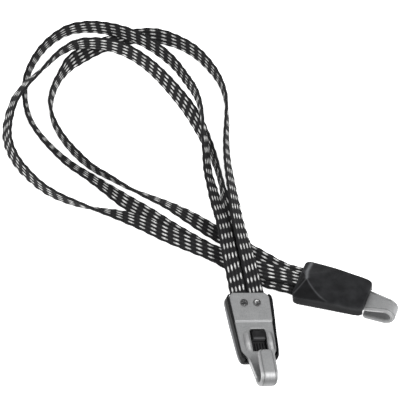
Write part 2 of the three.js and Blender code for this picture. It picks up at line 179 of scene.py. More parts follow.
# Snap catch: its block as u, its corners, its dished top, and the ribs on its arm
CATCH_FRONT_U = 22.0
CATCH_CHAMFER_U = 24
CATCH_MIDDLE_U = 24.3
CATCH_SLOPE_U = 24.5
CATCH_LIP_U = 27.3
CATCH_BACK_U = 27.6
CATCH_ARM_U = (28.0, 28.8)
CATCH_TOP_N = (-0.4, 1.0)
CATCH_HALF = 3.9
CATCH_TAPER = 0.1
CATCH_SLOPE = 0.6
CATCH_SLOPE_LONG = 2
CATCH_FRONT_CORNER = 1.6
CATCH_BACK_CORNER = 1.1
CATCH_CHAMFER = 0.35
CATCH_CHAMFER_LONG = 1.6
CATCH_CHAMFER_DEPTH = (1.7, 2.3)
CATCH_DISH = 0.6
CATCH_DISH_HALF = (2.4, 3.3)
CATCH_SHOULDER = 0.6
CATCH_SHOULDER_V = 2.0
CATCH_ARM_SLOPE = (0.3, 0.8)
RIB_PITCH = 1.55
RIB_DEEP = 0.4

# Voxel size and smoothing passes of the moulded pieces
COVER_GRID = (0.36, 3)
CATCH_GRID = (0.2, 5)

# Rivet: its face from the middle out as radius and depth under the top, then its side, shank and foot
RIVET_HEAD = 0.92
RIVET_UNDER = 0.3
RIVET_FACE = [
    (0.0, 0.75), (0.4, 0.75), (0.66, 0.62), (0.82, 0.25), (1.0, 0.03), (1.2, 0.0), (1.42, 0.1), (1.6, 0.3),
    (1.76, 0.38), (1.95, 0.42), (2.07, 0.5),
]
RIVET_SIDE = 2.1
RIVET_SHANK = 1.2
RIVET_FOOT = 2.2
RIVET_FOOT_THICK = 0.4
RIVET_SEGMENTS = 60
RIVET_FOLDS = {"left": (5, 0.28), "right": (4, 0.5)}
RIVET_FOLD_TURN = 0.7
RIVET_FOLD_SHARP = 6
RIVET_ROLL = 1.15
RIVET_ROLL_WIDE = 0.4
RIVET_FACE_RADIUS = 2.0
RIVET_LIGHT_FROM = 225

# Bands, in millimetres: section, places in the clamp, and the woven rows
WEAVE_WIDTH = 9.9
SIDE_BAND_V = 4.95
SIDE_BAND_N = -1.05
MIDDLE_BAND_N = -2.85
MOUTH_U = (-0.35, -6.5)
TAIL_U = (11.6, -0.35)
TAIL_STEPS = 20
HALF_THICK = 0.84
ROW = 7.1
ROW_CROWD = 0.13
CROWD_REACH = 80
RINGS_PER_ROW = 10
COLUMNS = 4
COLUMN = 2.2
COLUMN_STATIONS = (-1.1, -0.75, -0.5, -0.25, 0.0, 0.25, 0.5, 0.75, 1.1)
EDGE_INSET = 0.12
FLOAT_LONG = 2.1
FLOAT_WIDE = 0.56
FLOAT_RISE = 0.2
CORD_RISE = 0.06
SCALLOP = 0.36
RIPPLE = 0.2
SECTION_POWERS = (6, 1 / 3)
STRAND_PITCH = 0.31
PICKS_PER_ROW = 9

# Routes between the fittings: x, y, z and roll, as in the part's source
LEFT_RUN = [
    (17.0, -46.5, 12.0, -20), (15.0, -34.0, 11.8, -27), (12.5, -20.5, 11.0, -34), (9.5, -9.0, 9.8, -41),
    (7.0, 3.5, 7.8, -49), (4.5, 16.0, 7.0, -58), (3.5, 25.5, 10.2, -65), (2.5, 35.5, 13.2, -72),
    (1.5, 47.0, 15.0, -89), (-1.5, 64.0, 13.4, -97), (-9.0, 83.0, 8.0, -101), (-17.0, 96.5, 6.6, -103),
    (-28.0, 106.0, 8.8, -105), (-38.0, 111.5, 11.0, -105), (-48.5, 116.5, 11.0, -104),
    (-60.0, 121.5, 8.8, -101), (-72.0, 125.0, 5.8, -96), (-82.0, 123.5, 5.1, -91), (-92.0, 116.0, 5.1, -87),
    (-99.5, 105.5, 5.1, -88), (-104.5, 93.0, 5.0, -90), (-106.5, 80.0, 5.1, -95), (-105.0, 65.5, 5.1, -100),
    (-101.0, 53.0, 5.0, -110), (-93.5, 41.0, 4.8, -119), (-84.5, 30.5, 4.5, -127), (-75.0, 21.5, 4.1, -136),
    (-64.5, 13.5, 4.6, -142), (-53.5, 5.5, 3.5, -153), (-42.0, -2.5, 1.8, -172), (-30.5, -10.0, 1.3, -178),
    (-18.0, -19.0, 1.2, -180), (-4.0, -28.5, 1.3, -182), (10.0, -37.5, 1.5, -184), (23.5, -46.0, 1.8, -186),
    (37.0, -53.0, 2.5, -189),
]
MIDDLE_RUN = [
    (22.0, -43.5, 7.2, -11), (19.5, -29.5, 6.4, -2), (16.5, -14.5, 4.0, 30), (13.9, -1.0, 5.1, 72),
    (11.5, 12.0, 5.2, 84), (8.5, 24.5, 5.2, 78), (4.5, 36.5, 4.9, 66), (-0.5, 49.5, 4.5, 54),
    (-7.0, 62.5, 4.4, 50), (-14.5, 74.0, 4.6, 55), (-23.5, 86.0, 5.0, 60), (-33.5, 97.0, 5.1, 66),
    (-43.5, 104.0, 6.4, 70), (-54.5, 107.0, 9.2, 77), (-65.5, 107.5, 10.8, 83), (-76.0, 105.5, 12.3, 95),
    (-85.5, 99.5, 12.0, 105), (-92.5, 90.0, 12.8, 112), (-98.5, 79.0, 15.6, 132), (-104.0, 70.0, 16.9, 138),
    (-109.5, 63.5, 13.4, 142), (-113.0, 57.0, 8.0, 137), (-114.5, 46.5, 4.4, 131), (-112.0, 34.5, 4.8, 121),
    (-106.5, 23.5, 5.0, 112), (-98.5, 13.5, 5.1, 104), (-89.5, 5.0, 5.1, 96), (-79.0, -1.5, 5.1, 87),
    (-68.5, -6.0, 5.1, 76), (-56.5, -10.0, 5.2, 49), (-45.5, -13.0, 4.8, 26), (-33.0, -17.5, 4.1, 6),
    (-19.5, -24.5, 3.6, 0), (-5.5, -31.0, 3.5, -3), (14.5, -40.0, 3.9, -7), (34.0, -48.0, 4.8, -10),
]
RIGHT_RUN = [
    (26.2, -44.5, 9.6, -26), (23.6, -32.5, 10.0, -35), (20.9, -19.0, 9.7, -43), (19.2, -5.5, 8.8, -50),
    (17.5, 9.5, 6.4, -57), (16.0, 24.0, 4.9, -64), (15.5, 38.5, 5.0, -72), (16.0, 53.5, 5.1, -79),
    (15.5, 70.0, 5.1, -92), (12.5, 82.0, 5.1, -94), (5.5, 95.0, 5.1, -101), (-3.5, 106.0, 5.1, -106),
    (-15.0, 114.0, 5.0, -111), (-27.5, 118.5, 4.8, -132), (-40.5, 119.5, 3.2, -152),
    (-52.0, 117.0, 2.4, -165), (-62.5, 112.0, 2.6, -162), (-72.5, 105.0, 3.2, -150),
    (-80.0, 97.0, 4.8, -118), (-85.5, 86.5, 5.1, -94), (-89.0, 75.5, 5.1, -93), (-90.0, 64.0, 5.1, -93),
    (-88.0, 54.5, 5.1, -83), (-84.0, 45.5, 5.1, -83), (-78.0, 36.0, 5.1, -84), (-70.5, 27.0, 5.1, -85),
    (-61.5, 18.5, 5.1, -95), (-51.5, 12.0, 5.1, -102), (-41.5, 5.5, 5.0, -112), (-30.0, -0.5, 4.9, -130),
    (-18.0, -6.0, 3.9, -144), (-6.0, -13.0, 2.6, -162), (6.0, -21.0, 1.6, -174), (19.0, -29.5, 1.6, -180),
    (31.0, -37.5, 2.0, -184),
]
# side: where it sits in the clamp; turn: degrees it turns on the way; split: run point where its two lengths
# meet; phase: shift of its woven rows in millimetres; lean: slant of the rows, at parts of the length
BANDS = [
    {"name": "left", "run": LEFT_RUN, "side": 1, "turn": -180, "split": 18, "phase": 0.0,
     "lean": [(0, -0.3), (0.11, -0.5), (0.15, -0.2), (0.24, -0.4), (0.29, -0.1), (0.35, 0.4), (0.44, 0),
              (0.52, 0.3), (0.58, 0.8), (0.66, 0.5), (0.76, 0.5), (0.84, 0.1), (1, 0.2)]},
    {"name": "middle", "run": MIDDLE_RUN, "side": 0, "turn": 0, "split": 16, "phase": 2.0,
     "lean": [(0, -0.25), (0.2, -0.3), (0.25, -0.5), (0.33, -0.25), (0.42, -0.1), (0.49, -0.5), (0.53, -0.1),
              (0.57, 0.6), (0.64, 0.3), (0.72, 0.1), (0.8, -0.35), (0.87, -0.55), (1, -0.4)]},
    {"name": "right", "run": RIGHT_RUN, "side": -1, "turn": -180, "split": 18, "phase": 0.4,
     "lean": [(0, -0.3), (0.16, -0.3), (0.24, -0.35), (0.28, 0), (0.36, 0.3), (0.43, 0.15), (0.5, -0.2),
              (0.55, 0.1), (0.62, 0.4), (0.67, 0), (0.75, 0), (0.83, 0.25), (0.9, 0.5), (1, 0.3)]},
]

# Colours, from the darker to the lighter where there are two
WHITE_THREAD = ((0.86, 0.86, 0.85, 1), (0.97, 0.97, 0.96, 1))
BLACK_THREAD = ((0.002, 0.002, 0.0021, 1), (0.034, 0.034, 0.0355, 1))
# Steel: its grey tones, then the colour of its painted shade and the colour of its painted highlight
GREY_STEEL = ((0.24, 0.243, 0.246, 1), (0.35, 0.353, 0.356, 1))
SHADED_STEEL = (0.09, 0.091, 0.092, 1)
PAINTED_HIGHLIGHT_STEEL = (0.74, 0.74, 0.74, 1)
# Plastics: each black, then the lighter colour of its painted highlight; last the black of painted shade
SATIN_BLACK = ((0.012, 0.0123, 0.0132, 1), (0.023, 0.0234, 0.025, 1))
SATIN_PAINTED_HIGHLIGHT = (0.22, 0.224, 0.234, 1)
MATTE_BLACK = ((0.012, 0.012, 0.0125, 1), (0.026, 0.026, 0.027, 1))
MATTE_PAINTED_HIGHLIGHT = (0.12, 0.12, 0.124, 1)
PAINTED_SHADE_BLACK = (0.003, 0.003, 0.0032, 1)
# Rivet: its stained tones, then the colour of its painted shade and the colour of its painted highlight
STAINED_RIVET = ((0.022, 0.022, 0.023, 1), (0.30, 0.30, 0.305, 1))
SHADED_RIVET = (0.02, 0.02, 0.021, 1)
BRIGHT_RIVET = (0.85, 0.85, 0.85, 1)
FLOOR_TONES = ((0.90, 0.90, 0.90, 1), (0.92, 0.92, 0.92, 1))
WHITE = (1, 1, 1, 1)

# Scales of the noise in the materials, its usual spans of values, and depths of bump in metres
FIBRE_SCALE = 2200.0
PATCH_SCALE = 800.0
SPECKLE_SCALE = 1500.0
STEEL_CLOUD_SCALE = 120.0
DRAWN_LINES_PER_MM = 2.6
GRAIN_SCALE = 2600.0
PLASTIC_CLOUD_SCALE = 160.0
RUB_SCALE = 700.0
STAIN_SCALE = 1100.0
FLOOR_SCALE = 3.0
MIDDLE_TONES = (0.35, 0.65)
MOST_TONES = (0.3, 0.7)
WEAVE_BUMP = 0.00025
SURFACE_BUMP = 0.0001
STAIN_BUMP = 0.0002
DASH_FALL = 0.55

# Floor, light and camera, in metres, watts and degrees; a light's place is given from the point looked at
FLOOR_SIZE = 6.0
FLOOR_GLOW = 0.8
SKY_STRENGTH = 0.85
LOOK = Vector((-ORIGIN[0] * MM, -ORIGIN[1] * MM, 0))
LIGHTS = [
    {"name": "right_front", "place": (0.8, -0.45, 1.0), "size": (0.6, 0.8), "power": 8},
    {"name": "left_fill", "place": (-1.2, -0.3, 0.8), "size": (0.9, 0.9), "power": 8},
]
CAMERA_ELEVATION = 58
CAMERA_DISTANCE = 0.632
CAMERA_SENSOR = 36
CAMERA_LENS = 99
CAMERA_NEAR = 0.01


def seat(end):
    """Matrix from a fitting's own axes to the CAD frame, in metres."""
    x, y, z = end["place"]
    turn = Euler([math.radians(a) for a in (end["roll"], -end["pitch"], end["yaw"])], "XYZ").to_matrix()
    return Matrix.Translation(Vector((x - ORIGIN[0], y - ORIGIN[1], z)) * MM) @ turn.to_4x4()


SEAT_A, SEAT_B = seat(END_A), seat(END_B)


def ramp(x, low, high):
    """0 below low, 1 above high, smooth between."""
    k = np.clip((np.asarray(x, float) - low) / (high - low), 0, 1)
    return k * k * (3 - 2 * k)


def fillet(distance, radius):
    """How far a rounded edge falls away at a distance in from it."""
    return radius - np.sqrt(np.maximum(radius ** 2 - np.maximum(radius - distance, 0) ** 2, 0))


def bell(x, width):
    """1 at zero, falling away on both sides over the width."""
    return np.exp(-(np.asarray(x, float) / width) ** 2)


def run_along(points):
    """Length of a line up to each of its points."""
    return np.concatenate([[0], np.cumsum(np.linalg.norm(np.diff(points[:, :3], axis=0), axis=1))])


def link(name, data):
    """A new object of the data, in the scene."""
    obj = bpy.data.objects.new(name, data)
    bpy.context.collection.objects.link(obj)
    return obj


def mark(mesh, label, values):
    """Give each point of the mesh a number for its material to read."""
    layer = mesh.attributes.new(label, "FLOAT", "POINT")
    layer.data.foreach_set("value", np.ascontiguousarray(values, dtype=np.float32).ravel())


def in_clamp(band, letter, places_u):
    """A band's points in a fitting's clamp, in millimetres in the CAD frame, and its roll there."""
    if letter == "a":
        matrix, side, roll = SEAT_A, -band["side"], END_A["roll"]
    else:
        matrix, side, roll = SEAT_B, band["side"], 180 - END_B["roll"] + band["turn"]
    n = SIDE_BAND_N if band["side"] else MIDDLE_BAND_N
    return [matrix @ Vector((u * MM, side * SIDE_BAND_V * MM, n * MM)) / MM for u in places_u], roll


def band_points(band):
    """The band's points in millimetres in the CAD frame, each with its roll."""
    (a0, a1), roll_a = in_clamp(band, "a", MOUTH_U)
    (b0, b1), roll_b = in_clamp(band, "b", MOUTH_U)
    rows = [[*a0, roll_a], [*a1, roll_a]]
    rows += [[x - ORIGIN[0], y - ORIGIN[1], z, roll] for x, y, z, roll in band["run"]]
    rows += [[*b1, roll_b], [*b0, roll_b]]
    return np.array(rows)


def smooth_line(points, fine=0.15):
    """A smooth line through the points: its fine samples, their places along it, and the points' places."""
    at = run_along(points)
    slope = np.gradient(points, at, axis=0)
    t = np.linspace(0, at[-1], int(at[-1] / fine))
    i = np.clip(np.searchsorted(at, t, side="right") - 1, 0, len(at) - 2)
    h = (at[i + 1] - at[i])[:, None]
    k = (t - at[i])[:, None] / h
    line = ((1 + 2 * k) * (1 - k) ** 2 * points[i] + k * (1 - k) ** 2 * h * slope[i]
            + k * k * (3 - 2 * k) * points[i + 1] + k * k * (k - 1) * h * slope[i + 1])
    return line, t, at


def section():
    """Places across the band: v of the loop's points and which face each is on (1, 0 at the edge, -1)."""
    half = WEAVE_WIDTH / 2
    columns = [(k - (COLUMNS - 1) / 2) * COLUMN for k in range(COLUMNS)]
    inner = sorted({round(c + d, 3) for c in columns for d in COLUMN_STATIONS})
    inner = [-half + EDGE_INSET] + inner + [half - EDGE_INSET]
    loop = [(-half, 0)] + [(v, 1) for v in inner] + [(half, 0)] + [(v, -1) for v in reversed(inner)]
    return np.array([p[0] for p in loop]), np.array([p[1] for p in loop])


def ribbon(name, line, start, lean, material):
    """A woven band along x, y, z, roll in millimetres, and its middle line in metres.

    start is its place on the whole band, lean the slant of its rows at places along it.
    """
    v, face = section()
    run = run_along(line)
    count = max(int(round(run[-1] / (ROW / RINGS_PER_ROW))), 2)
    s = np.linspace(0, run[-1], count + 1)
    p = np.stack([np.interp(s, run, line[:, k]) for k in range(4)], axis=1)
    along = np.gradient(p[:, :3], s, axis=0)
    along /= np.linalg.norm(along, axis=1)[:, None]
    level = np.cross(along, (0, 0, 1))
    level /= np.linalg.norm(level, axis=1)[:, None]
    roll = np.radians(p[:, 3])[:, None]
    across = level * np.cos(roll) - np.cross(along, level) * np.sin(roll)
    out = np.cross(across, along)
    at = s[:, None] + start
    crowded = ROW_CROWD * CROWD_REACH * (1 - np.exp(-at / CROWD_REACH))
    place = at + crowded + np.interp(at, *zip(*lean)) * v
    row = (place / ROW) % 1 - 0.5
    column = (v / COLUMN + COLUMNS) % 1 - 0.5
    float_long = np.clip(1 - (row * ROW / FLOAT_LONG) ** 2, 0, 1)
    float_wide = np.clip(1 - (column * COLUMN / FLOAT_WIDE) ** 2, 0, 1)
    edge = np.abs(v) / (WEAVE_WIDTH / 2)
    inward, outward = SECTION_POWERS
    thick = HALF_THICK * (1 - edge ** inward) ** outward + CORD_RISE * np.cos(2 * math.pi * column)
    rise = face * (thick + FLOAT_RISE * (float_long * float_wide))
    rise = rise + RIPPLE * edge ** 3 * np.sign(v) * np.sin(2 * math.pi * row)
    bite = 0.5 - 0.5 * np.cos(2 * math.pi * row + math.pi)
    width = v * (1 - SCALLOP / WEAVE_WIDTH * 2 * edge ** 4 * bite)
    co = p[:, None, :3] + across[:, None] * width[..., None] + out[:, None] * rise[..., None]
    rings, around = co.shape[:2]
    index = np.arange(rings * around).reshape(rings, around)
    nxt = np.roll(index, -1, axis=1)
    quads = np.stack([index[:-1], index[1:], nxt[1:], nxt[:-1]], axis=-1).reshape(-1, 4)
    faces = quads.tolist() + [index[0].tolist(), index[-1][::-1].tolist()]
    mesh = bpy.data.meshes.new(name)
    mesh.from_pydata((co.reshape(-1, 3) * MM).tolist(), [], faces)
    mesh.update()
    mark(mesh, "along", place)
    mark(mesh, "across", np.broadcast_to(v, (rings, around)))
    mesh.polygons.foreach_set("use_smooth", [True] * len(quads) + [False, False])
    mesh.materials.append(material)
    return link(name, mesh), p[:, :3] * MM


class Nodes:
    """Short calls for building one material's node tree."""

    def __init__(self, name):
        self.material = bpy.data.materials.new(name)
        self.material.use_nodes = True
        self.tree = self.material.node_tree
        self.shader = self.tree.nodes["Principled BSDF"]

    def add(self, kind, inputs=(), **settings):
        node = self.tree.nodes.new(kind)
        for key, value in settings.items():
            setattr(node, key, value)
        for key, value in dict(inputs).items():
            self.put(node.inputs[key], value)
        return node

    def put(self, socket, value):
        if isinstance(value, bpy.types.NodeSocket):
            self.tree.links.new(value, socket)
        else:
            socket.default_value = value

    def math(self, operation, *values, clamp=False):
        return self.add("ShaderNodeMath", enumerate(values), operation=operation, use_clamp=clamp).outputs[0]

    def attribute(self, name):
        return self.add("ShaderNodeAttribute", attribute_name=name).outputs["Fac"]

    def place(self):
        return self.add("ShaderNodeTexCoord").outputs["Object"]

    def noise(self, scale, detail=2.0, vector=None, roughness=0.5):
        inputs = {"Scale": scale, "Detail": detail, "Roughness": roughness, "Vector": vector or self.place()}
        return self.add("ShaderNodeTexNoise", inputs).outputs["Fac"]

    def spread(self, value, low, high, to_low=0.0, to_high=1.0):
        inputs = {"Value": value, "From Min": low, "From Max": high, "To Min": to_low, "To Max": to_high}
        return self.add("ShaderNodeMapRange", inputs).outputs["Result"]

    def mix(self, factor, a, b):
        node = self.add("ShaderNodeMix", data_type="RGBA")
        for socket, value in ((node.inputs[0], factor), (node.inputs[6], a), (node.inputs[7], b)):
            self.put(socket, value)
        return node.outputs[2]

    def bump(self, height, strength, distance):
        inputs = {"Height": height, "Strength": strength, "Distance": distance}
        return self.add("ShaderNodeBump", inputs).outputs["Normal"]

    def finish(self, **sockets):
        for key, value in sockets.items():
            self.put(self.shader.inputs[key.replace("_", " ")], value)
        return self.material


def webbing():
    """Black weave with rows of white dashes, drawn from the band's own places along and across it."""
    n = Nodes("woven_elastic")
    along, across = n.attribute("along"), n.attribute("across")
    rows = n.math("MULTIPLY", along, 1 / ROW)
    columns = n.math("ADD", n.math("MULTIPLY", across, 1 / COLUMN), float(COLUMNS))
    row = n.math("SUBTRACT", n.math("FRACT", rows), 0.5)
    column = n.math("SUBTRACT", n.math("FRACT", columns), 0.5)
    cell = n.add("ShaderNodeCombineXYZ", {0: n.math("FLOOR", rows), 1: n.math("FLOOR", columns)}).outputs[0]
    chance = n.add("ShaderNodeTexWhiteNoise", {"Vector": cell}, noise_dimensions="3D").outputs["Value"]
    far = n.math("POWER", n.math("MULTIPLY", row, ROW / FLOAT_LONG), 2.0)
    wide = n.math("POWER", n.math("MULTIPLY", column, COLUMN / FLOAT_WIDE), 2.0)
    core = n.math("SUBTRACT", 1.0, n.math("ADD", far, wide), clamp=True)
    inside = n.math("POWER", core, DASH_FALL)
    within = n.math("LESS_THAN", n.math("ABSOLUTE", across), COLUMNS / 2 * COLUMN)
    fibre = n.noise(FIBRE_SCALE, 3.0)
    strand = n.math("SINE", n.math("MULTIPLY", across, 2 * math.pi / STRAND_PITCH))
    patchy = n.spread(n.noise(PATCH_SCALE, 1.0), 0.35, 0.55, 0.5, 1.0)
    fleck = n.math("MULTIPLY", n.spread(chance, 0.0, 1.0, 0.75, 1.0), patchy)
    dash = n.math("MULTIPLY", n.math("MULTIPLY", inside, within), fleck)
    white = n.mix(n.spread(strand, -1.0, 1.0), *WHITE_THREAD)
    pick = n.math("SINE", n.math("MULTIPLY", along, 2 * math.pi / (ROW / PICKS_PER_ROW)))
    cord = n.math("COSINE", n.math("MULTIPLY", column, 2 * math.pi))
    rib = n.math("ADD", n.math("MULTIPLY", pick, 0.5), n.math("MULTIPLY", cord, 0.35))
    dark = n.mix(n.spread(n.math("ADD", rib, fibre), -0.4, 1.3), *BLACK_THREAD)
    colour = n.mix(dash, dark, white)
    height = n.math("ADD", n.math("MULTIPLY", rib, n.math("SUBTRACT", 1.0, dash)),
                    n.math("ADD", n.math("MULTIPLY", fibre, 0.5), n.math("MULTIPLY", strand, 0.2)))
    return n.finish(Base_Color=colour, Roughness=0.85, Normal=n.bump(height, 0.8, WEAVE_BUMP),
                    Specular_IOR_Level=0.12)


def steel():
    """Grey sheet with a fine speckle, drawn lines along it, painted shade in hollows, and painted highlights
    on ridges.
    """
    n = Nodes("grey_steel")
    speckle = n.noise(SPECKLE_SCALE, 3.0)
    cloud = n.noise(STEEL_CLOUD_SCALE, 2.0)
    drawn = n.math("MULTIPLY", n.attribute("across"), DRAWN_LINES_PER_MM)
    lines = n.noise(1.0, 2.0, n.add("ShaderNodeCombineXYZ", {0: drawn}).outputs[0])
    tone = n.math("ADD", n.math("MULTIPLY", speckle, 0.5),
                  n.math("ADD", n.math("MULTIPLY", cloud, 0.25), n.math("MULTIPLY", lines, 0.25)))
    colour = n.mix(n.spread(tone, *MIDDLE_TONES), *GREY_STEEL)
    # Painted shade: darker in the throat, the flutes, the jambs, the groove and the bend below its gleam
    shade_share = n.math("MULTIPLY", n.attribute("shaded"), n.spread(lines, *MIDDLE_TONES, 1.0, 0.6))
    colour = n.mix(shade_share, colour, SHADED_STEEL)
    # Painted highlight: lighter on the riser, the rails, the rolled rims and the bend's gleam
    highlight_share = n.math("MULTIPLY", n.attribute("painted_highlight"), n.spread(lines, *MIDDLE_TONES, 0.3, 1.0))
    colour = n.mix(highlight_share, colour, PAINTED_HIGHLIGHT_STEEL)
    rough = n.spread(speckle, *MOST_TONES, 0.40, 0.52)
    return n.finish(Base_Color=colour, Metallic=0.75, Roughness=rough,
                    Normal=n.bump(n.math("ADD", speckle, lines), 0.15, SURFACE_BUMP))


def plastic(name, tones, painted_highlight):
    """Moulded plastic, with a painted highlight where the mesh marks an edge or a crease, and painted shade
    where it marks a recess.
    """
    n = Nodes(name)
    grain = n.noise(GRAIN_SCALE, 2.0)
    cloud = n.noise(PLASTIC_CLOUD_SCALE, 4.0)
    patchy = n.spread(n.noise(RUB_SCALE, 3.0), *MOST_TONES, 0.75, 1.0)
    highlight_share = n.math("MULTIPLY", n.attribute("painted_highlight"), patchy)
    colour = n.mix(n.spread(cloud, *MIDDLE_TONES), *tones)
    # Painted shade: blacker on the rim, the cheek, the near wall's upper part and between the ribs
    colour = n.mix(n.attribute("shaded"), colour, PAINTED_SHADE_BLACK)
    # Painted highlight: lighter on edges, creases, the lip and the near wall
    colour = n.mix(highlight_share, colour, painted_highlight)
    rough = n.spread(grain, *MOST_TONES, 0.42, 0.56)
    return n.finish(Base_Color=colour, Roughness=rough, Normal=n.bump(grain, 0.12, SURFACE_BUMP),
                    Specular_IOR_Level=0.3, IOR=1.2)


def crimp():
    """Stained rivet metal, with painted highlights and painted shade where the mesh marks them."""
    n = Nodes("crimped_rivet")
    stain = n.noise(STAIN_SCALE, 3.0)
    colour = n.mix(n.spread(stain, 0.4, 0.68), *STAINED_RIVET)
    colour = n.mix(n.attribute("shaded"), colour, SHADED_RIVET)
    colour = n.mix(n.attribute("painted_highlight"), colour, BRIGHT_RIVET)
    return n.finish(Base_Color=colour, Metallic=0.6, Roughness=0.4, Normal=n.bump(stain, 0.3, STAIN_BUMP))


WEBBING, STEEL, CRIMP = webbing(), steel(), crimp()
COVER = plastic("satin_black", SATIN_BLACK, SATIN_PAINTED_HIGHLIGHT)
CATCH = plastic("matte_black", MATTE_BLACK, MATTE_PAINTED_HIGHLIGHT)

# Bands: each in two lengths, one towards each fitting, and a clamped end in each fitting
AXIS = {"a": SEAT_A.to_3x3() @ Vector((1, 0, 0)), "b": SEAT_B.to_3x3() @ Vector((1, 0, 0))}
for band in BANDS:
    line, t, at = smooth_line(band_points(band))
    cut = int(np.searchsorted(t, at[band["split"] + len(MOUTH_U)]))
    run = run_along(line)
    lean = [(part * run[-1], slant) for part, slant in band["lean"]]
    for letter, part, start in (("a", line[:cut + 1], 0.0), ("b", line[cut:], run[cut])):
        name = f"elastic_{band['name']}_{letter}"
        obj, path = ribbon(name, part, start + band["phase"], lean, WEBBING)
        route = path if letter == "a" else path[::-1]
        mouth = route[0]
        reach = AXIS[letter].copy()
        reach.z = 0
        reach.normalize()
        first = Vector(mouth)
        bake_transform(obj)
        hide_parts(f"band_{band['name']}")
    for letter in "ab":
        ends, roll = in_clamp(band, letter, TAIL_U)
        first, last = ends if letter == "a" else ends[::-1]
        part = np.array([[*first.lerp(last, k / TAIL_STEPS), roll] for k in range(TAIL_STEPS + 1)])
        start = TAIL_U[1] - TAIL_U[0] if letter == "a" else run[-1]
        obj, _ = ribbon(f"clamped_{band['name']}_{letter}", part, start + band["phase"], lean, WEBBING)
        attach(obj, f"end_{letter}")
        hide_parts(f"tail_{band['name']}_{letter}")


def finished(name, co, faces, matrix, material, body, node, sharp, marks):
    """A piece from points in a fitting's own axes and millimetres, riding on a body in place of a node."""
    turn = np.array(matrix.to_3x3())
    mesh = bpy.data.meshes.new(name)
    mesh.from_pydata((co @ turn.T * MM + np.array(matrix.translation)).tolist(), [], faces)
    bm = bmesh.new()
    bm.from_mesh(mesh)
    bmesh.ops.recalc_face_normals(bm, faces=bm.faces)
    bm.to_mesh(mesh)
    bm.free()
    for label, values in marks:
        mark(mesh, label, values)
    mesh.shade_smooth()
    mesh.set_sharp_from_angle(angle=math.radians(sharp))
    mesh.materials.append(material)
    obj = link(name, mesh)
    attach(obj, body)
    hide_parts(node)


def plate_rings():
    """Rings along the bent sheet, from its strap end to the hook's tip.

    Each is the u and n of its outer side, the way through it in u and n, its thickness, its half width, its u
    or tag, and how far its rounded end falls away.
    """
    part = np.arange(1, WINDOW_RINGS + 1) / WINDOW_RINGS
    window = [WINDOW_U[0] + WINDOW_LONG * (0.25 * k + 0.75 * k * k) for k in part]
    middle = HOOK_THICK - STEP_DROP + HOOK_GAP / 2
    radius = HOOK_GAP / 2 + HOOK_THICK
    outline_u, outline_half = zip(*PLATE_OUTLINE)
    rows = []
    for u in FRONT_RINGS + STEP_RINGS + BEFORE_WINDOW_RINGS + [WINDOW_U[0]] + window + AFTER_WINDOW_RINGS:
        low = -STEP_DROP * ramp(u, *STEP_UNDER)
        top = PLATE_THICK - STEP_DROP * ramp(u, *STEP_OVER)
        top = top + (HOOK_THICK - PLATE_THICK) * ramp(u, *HOOK_THICK_U)
        half = np.interp(u, outline_u, outline_half)
        rows.append((u, low, 0, 1, top - low, half, u, fillet(u, FRONT_ROUND)))
    for k in range(BEND_RINGS + 1):
        a = math.pi * (k / BEND_RINGS - 0.5)
        rows.append((HOOK_STRAIGHT_U + radius * math.cos(a), middle + radius * math.sin(a),
                     -math.cos(a), -math.sin(a), HOOK_THICK, HOOK_HALF, BEND_TAG, 0))
    tip = HOOK_TIP_U - HOOK_THICK / 2
    for d in LEG_RINGS:
        half = HOOK_HALF - fillet(d, HOOK_TIP_CORNER) * TIP_NARROW
        rows.append((tip + d, middle + radius, 0, -1, HOOK_THICK, half, LEG_TAG, fillet(d, TIP_ROUND)))
    return np.array(rows)


